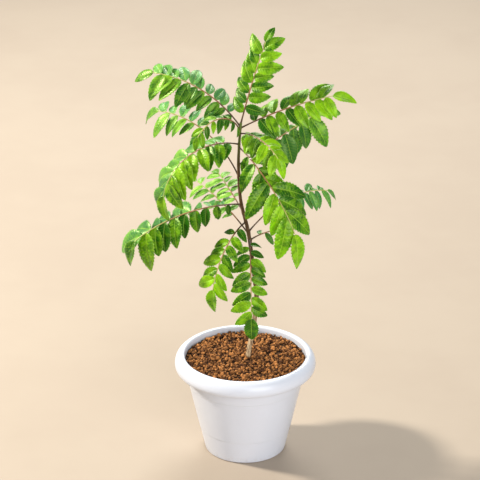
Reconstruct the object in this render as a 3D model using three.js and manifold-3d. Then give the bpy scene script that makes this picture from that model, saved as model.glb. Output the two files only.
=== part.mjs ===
// A young curry leaf plant (Murraya koenigii) growing in a white plastic planter.
//
// Millimetres, +Z up. The origin is the middle of the planter's flat base, so the whole thing rests
// on z = 0. +X is the plant's right and -Y its front. Four kinds of piece make it up: the planter, the
// soil that fills it, the woody stem that stands in a plain hole in the soil, and sixteen pinnate
// fronds. A frond is one body: a thin tapering rachis with its leaflets grown into it.

import * as THREE from "three";
import { mergeVertices } from "three/addons/utils/BufferGeometryUtils.js";
import Module from "manifold-3d";

// ---------------------------------------------------------------- driving dimensions

const FIT_GAP = 0.3;               // clearance between two pieces that touch

// Planter: a tapered tub under a broad rounded collar.
const POT_HEIGHT = 187;            // to the collar's crest
const RIM_RADIUS = 127;            // over the collar
const CREST_RADIUS = 113;          // where the collar stands highest
const MOUTH_RADIUS = 109;          // of the opening
const BELLY_HEIGHT = 168;          // where the collar is widest
const BELLY_STEPS = 5;             // of its outer curve
const CREST_STEPS = 2;             // and of its inner one
const CHANNEL_TOP = 176;           // roof of the hollow under the collar
const COLLAR_LIP = 2;              // height of the rounded lower edge of the collar
const BASE_RADIUS = 72.5;          // of the flat underside's outer edge
const SHOULDER_RADIUS = 109;       // of the tub just under the collar
const COLLAR_BOTTOM = 159;         // height of the collar's lower edge
const COLLAR_EDGE_RADIUS = 125;    // of the collar at that edge
const POT_WALL = 2.8;
const POT_FLOOR = 3.2;
const FOOT_CHAMFER = 2;
const BAND_HEIGHTS = [45, 132];    // faint moulded steps round the tub
const BAND_STEP = 0.8;
const POT_SIDES = 40;              // also the soil's, so that their facets lie side by side
const DRAIN_COUNT = 6;
const DRAIN_RADIUS = 5;
const DRAIN_RING_RADIUS = 45;
const DRAIN_SIDES = 8;

// Soil: crumbly, a little heaped round the stem.
const SOIL_HEIGHT = 176;
const SOIL_MOUND = 4;
const MOUND_RADIUS = 60;
const SOIL_CRUMB = 1.8;            // how far the crumbs stand up or down
const SOIL_RINGS = 6;
const SOIL_EDGE = 3;               // height of the plain band between the tub's taper and the crumbs

// Stem: centre line as x, y, z and radius, from its foot in the soil to the growing tip.
const STEM_PATH = [
  [3, 3, 118, 4.6],
  [5, 3, 180, 4.6],
  [15, 4, 240, 4.3],
  [20, 5, 300, 4.0],
  [14, 4, 355, 3.7],
  [5, 2, 425, 3.3],
  [-8, 0, 485, 2.9],
  [-12, -1, 545, 2.6],
  [-11, 0, 590, 2.4],
  [-8, 0, 632, 2.2],
];
const STEM_TENSION = 0.5;          // of the curve through those points
const STEM_SIDES = 8;
const STEM_STEPS = 18;
const HALVINGS = 30;               // of the search for the stem's centre at a height

// Fronds. A frond leaves the stem at a height, towards an azimuth (0 is +X, 90 is +Y), climbing at
// `rise` degrees. Along its length it sinks by `droop` degrees, early if `ease` is under 1 and late if
// it is over, and swings by `sweep` degrees. `roll` turns its plane about its own rachis. Its side
// leaflets stand from the `bare` share of it to the `last`. `leaf` is the length of the largest ones,
// `first` and `end` are the lengths of the first and the terminal one as shares of that, `breadth` is
// their greatest width over their length, and they sag by `hang` degrees.
const FRONDS = [
  { name: "frond_top", height: 630, azimuth: 8, rise: 76, droop: 5, ease: 1.2, sweep: 0, roll: 50,
    length: 155, bare: 0.13, last: 0.95, leaflets: 14, leaf: 39, first: 0.95, end: 0.7, breadth: 0.57,
    hang: 0 },
  { name: "frond_upper_left", height: 624, azimuth: 162, rise: 54, droop: 54, ease: 1, sweep: 0,
    roll: -36, length: 187, bare: 0.13, last: 0.95, leaflets: 20, leaf: 45, first: 0.6, end: 1,
    breadth: 0.52, hang: 12 },
  { name: "frond_back_left", height: 531, azimuth: 144, rise: 60, droop: 70, ease: 1, sweep: 0, roll: -35,
    length: 208, bare: 0.5, last: 0.95, leaflets: 10, leaf: 46, first: 0.75, end: 1, breadth: 0.5,
    hang: 10 },
  { name: "frond_inner_left", height: 616, azimuth: 222, rise: 68, droop: 120, ease: 1, sweep: 0,
    roll: -30, length: 120, bare: 0.08, last: 0.95, leaflets: 13, leaf: 25, first: 0.75, end: 1,
    breadth: 0.45, hang: 20 },
  { name: "frond_mid_left", height: 592, azimuth: 204, rise: 20, droop: 100, ease: 1.1, sweep: 0,
    roll: -15, length: 185, bare: 0.11, last: 0.95, leaflets: 18, leaf: 50, first: 0.7, end: 1,
    breadth: 0.54, hang: 12 },
  { name: "frond_lower_left", height: 479, azimuth: 187, rise: 3, droop: 42, ease: 1, sweep: 0, roll: -28,
    length: 204, bare: 0.1, last: 0.95, leaflets: 18, leaf: 62, first: 0.3, end: 0.85, breadth: 0.6,
    hang: 36 },
  { name: "frond_far_back", height: 462, azimuth: 118, rise: 28, droop: 10, ease: 1, sweep: 0, roll: -20,
    length: 105, bare: 0.3, last: 0.95, leaflets: 11, leaf: 32, first: 0.8, end: 1, breadth: 0.45,
    hang: 8 },
  { name: "frond_back", height: 420, azimuth: 140, rise: 42, droop: 34, ease: 1, sweep: -10, roll: -25,
    length: 150, bare: 0.3, last: 0.95, leaflets: 12, leaf: 30, first: 0.7, end: 1, breadth: 0.45,
    hang: 8 },
  { name: "frond_back_right", height: 424, azimuth: 20, rise: 48, droop: 62, ease: 1.3, sweep: 0,
    roll: 30, length: 170, bare: 0.4, last: 0.95, leaflets: 16, leaf: 32, first: 0.8, end: 1,
    breadth: 0.46, hang: 24 },
  { name: "frond_low_right", height: 408, azimuth: 15, rise: 32, droop: 45, ease: 1, sweep: 0, roll: 30,
    length: 72, bare: 0.25, last: 0.95, leaflets: 5, leaf: 26, first: 0.8, end: 1, breadth: 0.45,
    hang: 30 },
  { name: "frond_hanging_left", height: 444, azimuth: 231, rise: 0, droop: 75, ease: 0.6, sweep: 0,
    roll: -10, length: 144, bare: 0.15, last: 0.95, leaflets: 13, leaf: 39, first: 0.65, end: 1.25,
    breadth: 0.52, hang: 5 },
  { name: "frond_hanging_front", height: 412, azimuth: 272, rise: 5, droop: 92, ease: 0.7, sweep: 0,
    roll: 0, length: 162, bare: 0.12, last: 0.95, leaflets: 16, leaf: 37, first: 0.65, end: 1.15,
    breadth: 0.54, hang: 0 },
  { name: "frond_inner_right", height: 612, azimuth: 310, rise: 20, droop: 58, ease: 1, sweep: 0,
    roll: 10, length: 108, bare: 0.12, last: 0.95, leaflets: 14, leaf: 37, first: 0.75, end: 1,
    breadth: 0.52, hang: 15 },
  { name: "frond_front_right", height: 586, azimuth: 290, rise: 8, droop: 76, ease: 0.8, sweep: 40,
    roll: 28, length: 210, bare: 0.12, last: 0.87, leaflets: 14, leaf: 66, first: 0.6, end: 1.05,
    breadth: 0.45, hang: 26 },
  { name: "frond_upper_right", height: 622, azimuth: 352, rise: 31, droop: 16, ease: 1, sweep: 0,
    roll: 40, length: 176, bare: 0.15, last: 0.95, leaflets: 16, leaf: 43, first: 0.85, end: 0.95,
    breadth: 0.5, hang: 12 },
  { name: "frond_mid_right", height: 553, azimuth: 20, rise: 30, droop: 4, ease: 1, sweep: 0, roll: 30,
    length: 165, bare: 0.42, last: 0.95, leaflets: 10, leaf: 52, first: 0.95, end: 0.9, breadth: 0.54,
    hang: 44 },
];
const RACHIS_BASE_RADIUS = 1.4;
const RACHIS_TIP_RADIUS = 0.8;
const RACHIS_SIDES = 4;
const RACHIS_STEPS = 7;
const PULVINUS_LENGTH = 15;        // over which the swelling at the stem fades out
const PULVINUS_SWELL = 0.25;       // added to the rachis radius at the stem, as a share of it
const PATH_STEPS = 24;             // of the sum that lays out a frond's path

// Leaflets: thin ovate blades, larger towards the frond's tip, on alternate sides of the rachis.
const BLADE_THICKNESS = 0.8;
const BLADE_WIDEST = 0.82;         // under 1 brings the widest place nearer the root
const BLADE_FULLNESS = 0.66;       // under 1 makes the outline fuller
const BLADE_ROOT_OFFSET = 0.5;     // from the middle of the rachis to a side leaflet's root
const TERMINAL_ROOT = 1.5;         // how deep the terminal leaflet's root sits in the rachis
const TERMINAL_HANG = 15;          // degrees that the terminal leaflet sags of itself
const TERMINAL_HANG_SHARE = 0.4;   // of the other leaflets' sag that it has as well
const BLADE_ROOT_HALF_WIDTH = 0.6;
const BLADE_TIP_HALF_WIDTH = 0.35;
const BLADE_ARCH = 0.3;            // how far the tip curls under, over the length
const BLADE_TILT = 8;              // degrees that each blade tips, so that neighbours lie like tiles
const BLADE_TWIST = 22;            // degrees, the most that a blade twists either way
const SPREAD_BASE = 78;            // degrees between rachis and leaflet, near the stalk
const SPREAD_TIP = 50;             // and near the frond's tip
const SPREAD_JITTER = 14;          // degrees, the most that one leaflet's spread differs
const HANG_JITTER = 0.6;           // the same for its sag, as a share
const LENGTH_JITTER = 0.16;        // and for its length
const FIRST_LEAFLET = 0.3;         // where a leaflet stands in its own span of the rachis
const GROWTH_PACE = 1.15;          // over 1 brings the leaflets to full size before the frond's tip
const SMALL_LEAFLET = 40;          // shorter blades are laid out in one step less
const BLADE_STEPS = 4;

const FINISHES = {
  pot: { color: 0xf2f4f6, roughness: 0.35 },
  soil: { color: 0x5b3a22, roughness: 0.95 },
  stem: { color: 0x4a3320, roughness: 0.8 },
  frond: { color: 0x3f8a1c, roughness: 0.45 },
};

// ---------------------------------------------------------------- solids and meshes

const DEGREE = Math.PI / 180;
const MERGE_TOLERANCE = 1e-3;
const wasm = await Module();
wasm.setup();

/** A closed geometry as a solid that can be joined and cut. */
function toSolid(geometry) {
  const bare = geometry.clone();
  bare.deleteAttribute("normal");
  bare.deleteAttribute("uv");
  const merged = mergeVertices(bare, MERGE_TOLERANCE);
  return new wasm.Manifold(new wasm.Mesh({
    numProp: 3,
    vertProperties: new Float32Array(merged.attributes.position.array),
    triVerts: new Uint32Array(merged.index.array),
  }));
}

/** A solid as a geometry again. */
function toGeometry(solid) {
  const mesh = solid.getMesh();
  const geometry = new THREE.BufferGeometry();
  geometry.setAttribute("position", new THREE.BufferAttribute(mesh.vertProperties, 3));
  geometry.setIndex(new THREE.BufferAttribute(mesh.triVerts, 1));
  geometry.computeVertexNormals();
  return geometry;
}

/** A named mesh with its own material. */
function piece(name, geometry, finish) {
  const mesh = new THREE.Mesh(geometry, new THREE.MeshStandardMaterial(finish));
  mesh.name = name;
  return mesh;
}

/**
 * A closed skin over rings of equally many points, with both ends capped. The second half of each
 * ring is split along the other diagonal, so that the two faces of a thin blade are split alike.
 */
function loft(rings) {
  const sides = rings[0].length;
  const last = (rings.length - 1) * sides;
  const index = [];
  for (let ring = 0; ring < rings.length - 1; ring++) {
    for (let side = 0; side < sides; side++) {
      const a = ring * sides + side;
      const b = ring * sides + (side + 1) % sides;
      const c = b + sides;
      const d = a + sides;
      if (side < sides / 2) index.push(a, b, c, a, c, d);
      else index.push(a, b, d, b, c, d);
    }
  }
  for (let side = 1; side < sides - 1; side++) {
    index.push(0, side + 1, side);
    index.push(last, last + side, last + side + 1);
  }
  const geometry = new THREE.BufferGeometry().setFromPoints(rings.flat());
  geometry.setIndex(index);
  return geometry;
}

/** Points round a centre, from `across` towards `upper`, seen with the path coming at the eye. */
function ringAt(centre, across, upper, radius, sides) {
  return Array.from({ length: sides }, (_, side) => {
    const angle = 2 * Math.PI * (side + 0.5) / sides;
    return centre.clone()
      .addScaledVector(across, radius * Math.cos(angle))
      .addScaledVector(upper, radius * Math.sin(angle));
  });
}

/** A repeatable number from -1 to 1 for each use of each leaflet or crumb. */
function jitter(group, member, use) {
  const wave = Math.sin(group * 12.9898 + member * 78.233 + use * 37.719) * 43758.5453;
  return 2 * (wave - Math.floor(wave)) - 1;
}

/** The value at a share of the way from start to end. */
function lerp(start, end, share) {
  return start + (end - start) * share;
}

/** A section of radius and height points, turned about the upright axis. */
function lathe(profile) {
  const section = profile.map(([radius, z]) => new THREE.Vector2(radius, z));
  return new THREE.LatheGeometry(section, POT_SIDES).rotateX(Math.PI / 2);
}

// ---------------------------------------------------------------- planter

/** Radius of the tub's outside at a height. */
function tubRadius(z) {
  return lerp(BASE_RADIUS, SHOULDER_RADIUS, z / COLLAR_BOTTOM);
}

/** Points of radius and height along an ellipse about a centre, from one angle to another. */
function arc(centre, reach, start, end, steps) {
  return Array.from({ length: steps + 1 }, (_, step) => {
    const angle = lerp(start, end, step / steps) * DEGREE;
    return [centre[0] + reach[0] * Math.cos(angle), centre[1] + reach[1] * Math.sin(angle)];
  });
}

/** The planter's section, from the axis under the floor, up the outside and back down the inside. */
function potProfile() {
  const points = [[0, 0], [BASE_RADIUS - FOOT_CHAMFER, 0], [tubRadius(FOOT_CHAMFER), FOOT_CHAMFER]];
  for (const height of BAND_HEIGHTS) {
    points.push([tubRadius(height) - BAND_STEP / 2, height]);
    points.push([tubRadius(height) + BAND_STEP / 2, height + BAND_STEP]);
  }
  points.push([tubRadius(CHANNEL_TOP) - BAND_STEP, CHANNEL_TOP]);
  points.push([RIM_RADIUS - 2 * POT_WALL, CHANNEL_TOP]);
  points.push([COLLAR_EDGE_RADIUS - POT_WALL, COLLAR_BOTTOM + COLLAR_LIP / 2]);
  points.push([COLLAR_EDGE_RADIUS - POT_WALL / 2, COLLAR_BOTTOM]);
  points.push([COLLAR_EDGE_RADIUS, COLLAR_BOTTOM + COLLAR_LIP]);
  const belly = [RIM_RADIUS - CREST_RADIUS, POT_HEIGHT - BELLY_HEIGHT];
  points.push(...arc([CREST_RADIUS, BELLY_HEIGHT], belly, 0, 90, BELLY_STEPS));
  const bead = CREST_RADIUS - MOUTH_RADIUS;
  points.push(...arc([CREST_RADIUS, POT_HEIGHT - bead], [bead, bead], 90, 180, CREST_STEPS).slice(1));
  const taper = (SHOULDER_RADIUS - BASE_RADIUS) / COLLAR_BOTTOM;
  points.push([MOUTH_RADIUS, (MOUTH_RADIUS + POT_WALL - BASE_RADIUS) / taper]);
  points.push([tubRadius(POT_FLOOR) - POT_WALL, POT_FLOOR]);
  points.push([0, POT_FLOOR]);
  return points;
}

/** The planter, lathed, with a ring of drainage holes through its floor. */
function makePot() {
  let solid = toSolid(lathe(potProfile()));
  for (let hole = 0; hole < DRAIN_COUNT; hole++) {
    const angle = 2 * Math.PI * hole / DRAIN_COUNT;
    const drill = new THREE.CylinderGeometry(DRAIN_RADIUS, DRAIN_RADIUS, 4 * POT_FLOOR, DRAIN_SIDES);
    drill.rotateX(Math.PI / 2);
    drill.translate(DRAIN_RING_RADIUS * Math.cos(angle), DRAIN_RING_RADIUS * Math.sin(angle), 0);
    solid = solid.subtract(toSolid(drill));
  }
  return toGeometry(solid);
}

// ---------------------------------------------------------------- stem

const stemCurve = new THREE.CatmullRomCurve3(
  STEM_PATH.map(([x, y, z]) => new THREE.Vector3(x, y, z)), false, "catmullrom", STEM_TENSION);

/** Centre and radius of the stem at a share of its path. */
function stemAt(share) {
  const knots = STEM_PATH.length - 1;
  const knot = Math.min(Math.floor(share * knots), knots - 1);
  const radius = lerp(STEM_PATH[knot][3], STEM_PATH[knot + 1][3], share * knots - knot);
  return { centre: stemCurve.getPoint(share), radius };
}

/** Centre of the stem at a height, found by halving. */
function stemCentre(height) {
  let low = 0;
  let high = 1;
  for (let step = 0; step < HALVINGS; step++) {
    const middle = (low + high) / 2;
    if (stemCurve.getPoint(middle).z < height) low = middle;
    else high = middle;
  }
  return stemCurve.getPoint(low);
}

/** The stem grown by a margin all round, or as it is with a margin of 0. */
function stemGeometry(margin) {
  const rings = [];
  for (let step = 0; step <= STEM_STEPS; step++) {
    const share = step / STEM_STEPS;
    const { centre, radius } = stemAt(share);
    const along = stemCurve.getTangent(share);
    const upper = new THREE.Vector3().crossVectors(along, new THREE.Vector3(1, 0, 0)).normalize();
    const across = new THREE.Vector3().crossVectors(upper, along);
    if (step === 0) centre.addScaledVector(along, -margin);
    if (step === STEM_STEPS) centre.addScaledVector(along, margin);
    rings.push(ringAt(centre, across, upper, radius + margin, STEM_SIDES));
  }
  return loft(rings);
}

// ---------------------------------------------------------------- soil

/** Height of the soil's crumbly surface at a place, level where it meets the planter. */
function soilSurface(x, y) {
  const radius = Math.hypot(x, y);
  const mound = SOIL_MOUND * Math.max(0, 1 - radius / MOUND_RADIUS) ** 2;
  return SOIL_HEIGHT + mound + SOIL_CRUMB * jitter(Math.round(x * 2), Math.round(y * 2), 1);
}

/** The soil, filling the planter, with a blind hole for the stem. */
function makeSoil() {
  const wallRadius = (z) => tubRadius(z) - POT_WALL - FIT_GAP;
  const bottom = POT_FLOOR + FIT_GAP;
  const rim = MOUTH_RADIUS - FIT_GAP;
  const neck = COLLAR_BOTTOM;
  const profile = [[0, bottom], [wallRadius(bottom), bottom], [wallRadius(neck), neck]];
  profile.push([rim, SOIL_HEIGHT - SOIL_EDGE]);
  for (let ring = SOIL_RINGS; ring > 0; ring--) profile.push([rim * ring / SOIL_RINGS, SOIL_HEIGHT]);
  profile.push([0, SOIL_HEIGHT]);
  const body = lathe(profile);
  const position = body.attributes.position;
  for (let vertex = 0; vertex < position.count; vertex++) {
    if (position.getZ(vertex) < SOIL_HEIGHT - SOIL_EDGE / 2) continue;
    position.setZ(vertex, soilSurface(position.getX(vertex), position.getY(vertex)));
  }
  return toGeometry(toSolid(body).subtract(toSolid(stemGeometry(FIT_GAP))));
}

// ---------------------------------------------------------------- fronds

/** The three directions of a frond's rachis at a share of its length: along, across and upper. */
function frondFrame(frond, share) {
  const climb = (frond.rise - frond.droop * share ** frond.ease) * DEGREE;
  const heading = (frond.azimuth + frond.sweep * share) * DEGREE;
  const along = new THREE.Vector3(
    Math.cos(climb) * Math.cos(heading), Math.cos(climb) * Math.sin(heading), Math.sin(climb));
  const across = new THREE.Vector3(-Math.sin(heading), Math.cos(heading), 0);
  across.applyAxisAngle(along, frond.roll * DEGREE);
  const upper = new THREE.Vector3().crossVectors(along, across);
  return { along, across, upper };
}

/** A point of a frond's rachis: the sum of its short steps from the stem. */
function frondPoint(frond, share) {
  const point = stemCentre(frond.height);
  for (let step = 0; step < PATH_STEPS; step++) {
    const { along } = frondFrame(frond, share * (step + 0.5) / PATH_STEPS);
    point.addScaledVector(along, frond.length * share / PATH_STEPS);
  }
  return point;
}

/** Radius of a rachis, tapering, with a swelling where it leaves the stem. */
function rachisRadius(frond, share) {
  const swelling = PULVINUS_SWELL * Math.max(0, 1 - share * frond.length / PULVINUS_LENGTH);
  return lerp(RACHIS_BASE_RADIUS, RACHIS_TIP_RADIUS, share) * (1 + swelling);
}

/** The rachis of a frond, from the middle of the stem. */
function rachisGeometry(frond) {
  const rings = [];
  for (let step = 0; step <= RACHIS_STEPS; step++) {
    const share = step / RACHIS_STEPS;
    const { across, upper } = frondFrame(frond, share);
    rings.push(ringAt(frondPoint(frond, share), across, upper, rachisRadius(frond, share), RACHIS_SIDES));
  }
  return loft(rings);
}

/** Half the width of a blade along it, over its greatest: ovate, widest a little short of the middle. */
function bladeOutline(share) {
  return Math.sin(Math.PI * share ** BLADE_WIDEST) ** BLADE_FULLNESS;
}

/** One leaflet, from a root on the rachis towards `along`, its face towards `upper`. */
function bladeGeometry({ root, along, upper, length, breadth, tilt, twist }) {
  const steps = length < SMALL_LEAFLET ? BLADE_STEPS - 1 : BLADE_STEPS;
  const rings = [];
  for (let step = 0; step <= steps; step++) {
    const share = step / steps;
    const arch = BLADE_ARCH * length * share ** 2;
    const centre = root.clone().addScaledVector(along, length * share).addScaledVector(upper, -arch);
    const across = new THREE.Vector3().crossVectors(upper, along);
    across.applyAxisAngle(along, tilt + twist * share);
    const face = new THREE.Vector3().crossVectors(along, across);
    const least = lerp(BLADE_ROOT_HALF_WIDTH, BLADE_TIP_HALF_WIDTH, share);
    const half = Math.max(least, length * breadth / 2 * bladeOutline(share));
    const corner = (side, level) => centre.clone()
      .addScaledVector(across, side * half)
      .addScaledVector(face, level * BLADE_THICKNESS / 2);
    rings.push([corner(1, 1), corner(-1, 1), corner(-1, -1), corner(1, -1)]);
  }
  return loft(rings);
}

/** Where leaflet `number` of a frond sits, where it points and how long it is. */
function leafletPlace(frond, order, number) {
  const terminal = number === frond.leaflets;
  const way = terminal ? 1 : (number + FIRST_LEAFLET) / frond.leaflets;
  const share = terminal ? 1 : lerp(frond.bare, frond.last, way);
  const frame = frondFrame(frond, share);
  const side = number % 2 === 0 ? 1 : -1;
  const turned = lerp(SPREAD_BASE, SPREAD_TIP, way) + SPREAD_JITTER * jitter(order, number, 1);
  const spread = terminal ? 0 : turned;
  const along = frame.along.clone().multiplyScalar(Math.cos(spread * DEGREE))
    .addScaledVector(frame.across, side * Math.sin(spread * DEGREE));
  const upper = frame.upper.clone();
  const sag = new THREE.Vector3().crossVectors(along, new THREE.Vector3(0, 0, -1));
  const sideHang = frond.hang * (1 + HANG_JITTER * jitter(order, number, 2));
  const hang = terminal ? TERMINAL_HANG + TERMINAL_HANG_SHARE * sideHang : sideHang;
  const sagAngle = hang * DEGREE * sag.length();
  sag.normalize();
  along.applyAxisAngle(sag, sagAngle);
  upper.applyAxisAngle(sag, sagAngle);
  const grown = lerp(frond.first, 1, Math.sin(Math.min(1, way * GROWTH_PACE) * Math.PI / 2));
  const growth = terminal ? frond.end : grown;
  return {
    root: frondPoint(frond, share).addScaledVector(along, terminal ? -TERMINAL_ROOT : BLADE_ROOT_OFFSET),
    along,
    upper,
    length: frond.leaf * growth * (1 + LENGTH_JITTER * jitter(order, number, 3)),
    breadth: frond.breadth,
    tilt: terminal ? 0 : side * BLADE_TILT * DEGREE,
    twist: BLADE_TWIST * DEGREE * jitter(order, number, 4),
  };
}

/** A frond: its rachis and leaflets as one body, kept clear of the stem it grows from. */
function makeFrond(frond, order, stemClearance) {
  let solid = toSolid(rachisGeometry(frond));
  for (let number = 0; number <= frond.leaflets; number++) {
    solid = solid.add(toSolid(bladeGeometry(leafletPlace(frond, order, number))));
  }
  return toGeometry(solid.subtract(stemClearance));
}

// ---------------------------------------------------------------- the plant

const plant = new THREE.Group();
plant.add(piece("pot", makePot(), FINISHES.pot));
plant.add(piece("soil", makeSoil(), FINISHES.soil));
plant.add(piece("stem", toGeometry(toSolid(stemGeometry(0))), FINISHES.stem));
const stemClearance = toSolid(stemGeometry(FIT_GAP));
FRONDS.forEach((frond, order) => {
  plant.add(piece(frond.name, makeFrond(frond, order, stemClearance), FINISHES.frond));
});

export default plant;
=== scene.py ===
"""Looks of a young curry leaf plant in a white planter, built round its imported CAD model.

Sizes in the classes are millimetres in the part's own frame: +Z up, the origin in the middle of the
planter's flat underside. Skin.make turns them into metres. A finish gives its places in metres, as the
shader reads them. Every surface is worked out with numpy on a grid of two parameters. The stem and the
fronds follow the same lines as their solids, so the fine pieces keep the form of what they stand for.
"""

import logging
import math
from dataclasses import dataclass, field
from enum import Enum, IntEnum
from functools import partial
from typing import Optional, Sequence, Union

import bpy
import numpy as np
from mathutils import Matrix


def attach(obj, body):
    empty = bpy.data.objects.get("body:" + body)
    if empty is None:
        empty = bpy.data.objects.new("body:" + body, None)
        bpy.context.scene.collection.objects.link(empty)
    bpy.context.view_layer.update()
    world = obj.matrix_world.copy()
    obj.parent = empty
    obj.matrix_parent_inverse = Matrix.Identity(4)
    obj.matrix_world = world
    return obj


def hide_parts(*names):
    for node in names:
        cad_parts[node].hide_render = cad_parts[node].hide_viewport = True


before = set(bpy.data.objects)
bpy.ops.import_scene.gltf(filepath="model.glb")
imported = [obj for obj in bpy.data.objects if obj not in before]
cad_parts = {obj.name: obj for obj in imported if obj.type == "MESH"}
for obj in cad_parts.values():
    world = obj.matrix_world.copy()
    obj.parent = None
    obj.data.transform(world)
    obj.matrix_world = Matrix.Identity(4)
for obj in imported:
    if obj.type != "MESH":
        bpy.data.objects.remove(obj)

Array = np.ndarray
Number = Union[float, Array]
Pair = tuple[float, float]
Triple = tuple[float, float, float]
Socket = bpy.types.NodeSocket
Tree = bpy.types.NodeTree
Material = bpy.types.Material
Piece = bpy.types.Object

LOG = logging.getLogger("curry_leaf_plant")
MM = 0.001
TURN = 2 * math.pi
BODY = "root"
SOIL_LEVEL = 176.0
JITTER_WEIGHTS = (12.9898, 78.233, 37.719)
JITTER_SCALE = 43758.5453
NOISE_WAVES = 6
NOISE_PACES = (0.6, 1.5)


class Slot(Enum):
    """The record's material slots."""

    PLANTER = "planter"
    SOIL = "soil"
    BARK = "bark"
    FOLIAGE = "foliage"


# ------------------------------------------------------------------ small mathematics


def lerp(start: Number, end: Number, share: Number) -> Number:
    """The value at a share of the way from start to end."""
    return start + (end - start) * share


def smoothstep(low: float, high: float, value: Array) -> Array:
    """0 at low, 1 at high, and 3x^2 - 2x^3 between them."""
    share = np.clip((value - low) / (high - low), 0, 1)
    return share * share * (3 - 2 * share)


def jitter(group: int, member: int, use: int) -> float:
    """A repeatable number for each use of each leaflet: the fraction of a large sine, doubled, less 1.

    Args:
        group: Number of the frond.
        member: Number of the leaflet.
        use: What the number is for.

    Returns:
        A number from -1 to 1.
    """
    weights = JITTER_WEIGHTS
    wave = JITTER_SCALE * math.sin(group * weights[0] + member * weights[1] + use * weights[2])
    return 2 * (wave - math.floor(wave)) - 1


def unit(vectors: Array) -> Array:
    """Vectors divided by their own lengths."""
    return vectors / np.linalg.norm(vectors, axis=-1, keepdims=True)


def turned(vectors: Array, axis: Array, angle: Number) -> Array:
    """Vectors turned about a unit axis, by the rule v cos a + (k x v) sin a + k (k.v)(1 - cos a).

    Args:
        vectors: The vectors, with x, y and z last.
        axis: The unit axis k, of a shape that broadcasts with them.
        angle: The angle a in radians, one number or one for each vector.

    Returns:
        The turned vectors.
    """
    angle = np.asarray(angle)[..., None]
    cosine, sine = np.cos(angle), np.sin(angle)
    lengthwise = np.sum(axis * vectors, axis=-1, keepdims=True)
    return vectors * cosine + np.cross(axis, vectors) * sine + axis * lengthwise * (1 - cosine)


def smooth_noise(places: Array, seed: int) -> Array:
    """Soft noise round 0: a sum of sines divided by the root of their number, so it rarely passes 1.5.

    Args:
        places: Points, already divided by the size of the lumps, with x, y and z last.
        seed: Picks the direction, pace and phase of each sine.

    Returns:
        One number for each point.
    """
    draw = np.random.default_rng(seed)
    ways = unit(draw.normal(size=(NOISE_WAVES, 3))) * draw.uniform(*NOISE_PACES, (NOISE_WAVES, 1))
    phases = draw.uniform(0, TURN, NOISE_WAVES)
    return np.sin(places @ (ways * TURN).T + phases).sum(axis=-1) / math.sqrt(NOISE_WAVES)


# ------------------------------------------------------------------ surfaces into meshes


def circle(sides: int) -> tuple[Array, Array]:
    """The cosines and sines of evenly spaced angles round a circle."""
    angle = TURN * np.arange(sides) / sides
    return np.cos(angle), np.sin(angle)


def closed_tube(rings: Array) -> tuple[Array, list[Array]]:
    """A tube of quads between neighbouring rings, closed by a fan of triangles round each end's middle.

    Args:
        rings: Points, as rows by sides by 3. Each ring closes on itself, and runs anticlockwise as seen
            with the path coming at the eye, so that the faces point outwards.

    Returns:
        The points, with the two middles last, and the quads and the two fans.
    """
    rows, sides, _ = rings.shape
    points = np.vstack([rings.reshape(-1, 3), rings[0].mean(axis=0), rings[-1].mean(axis=0)])
    ring = np.arange(rows - 1)[:, None] * sides
    side = np.arange(sides)
    ahead = (side + 1) % sides
    quads = np.stack([ring + side, ring + ahead, ring + ahead + sides, ring + side + sides], axis=-1)
    first, last = rows * sides, rows * sides + 1
    start = np.stack([np.full(sides, first), ahead, side], axis=-1)
    end = np.stack([np.full(sides, last), side + first - sides, ahead + first - sides], axis=-1)
    return points, [quads.reshape(-1, 4), start, end]


def with_ends(values: Array) -> Array:
    """Values of a tube's points, as rows by sides, with the means of both ends' rings added last."""
    return np.concatenate([values.ravel(), [values[0].mean(), values[-1].mean()]])


def lathe_rings(profile: Array, sides: int) -> Array:
    """A profile of radius and height carried round the upright axis.

    Args:
        profile: Points of the profile, from its lower pole outside and back to its upper pole.
        sides: Points round the axis.

    Returns:
        Points (r cos a, r sin a, z), as rows by sides by 3.
    """
    cosine, sine = circle(sides)
    radius, height = profile[:, :1], profile[:, 1:]
    return np.stack([radius * cosine, radius * sine, height + 0 * cosine], axis=-1)


def rounded(corners: Sequence[Triple], steps: int = 6) -> Array:
    """An outline whose corners are turned by quadratic curves.

    A corner P with neighbours on both sides is replaced by (1-t)^2 A + 2t(1-t) P + t^2 B, where A and B
    lie on its two edges at the corner's reach from P, or half an edge away where that is nearer.

    Args:
        corners: Radius, height and reach of each corner.
        steps: Points less one of each turned corner.

    Returns:
        The outline's points, as radius and height.
    """
    places = np.array([corner[:2] for corner in corners], float)
    share = np.linspace(0, 1, steps + 1)[:, None]
    outline = [places[:1]]
    for number in range(1, len(corners) - 1):
        corner, reach = places[number], corners[number][2]
        if reach <= 0:
            outline.append(corner[None])
            continue
        ends = []
        for neighbour in (places[number - 1], places[number + 1]):
            edge = neighbour - corner
            span = float(np.linalg.norm(edge))
            ends.append(corner + edge * min(reach, 0.5 * span) / span)
        outline.append((1 - share) ** 2 * ends[0] + 2 * share * (1 - share) * corner + share**2 * ends[1])
    outline.append(places[-1:])
    return np.vstack(outline)


def arc(centre: Pair, reach: Pair, start: float, end: float, steps: int) -> Array:
    """Points (c + a cos w, d + b sin w) of an ellipse, from one angle w to another.

    Args:
        centre: Its middle, c and d.
        reach: Its half axes, a and b.
        start: First angle in radians.
        end: Last angle.
        steps: Points less one.

    Returns:
        The points, as radius and height.
    """
    angle = np.linspace(start, end, steps + 1)
    return np.stack([centre[0] + reach[0] * np.cos(angle), centre[1] + reach[1] * np.sin(angle)], axis=-1)


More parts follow.
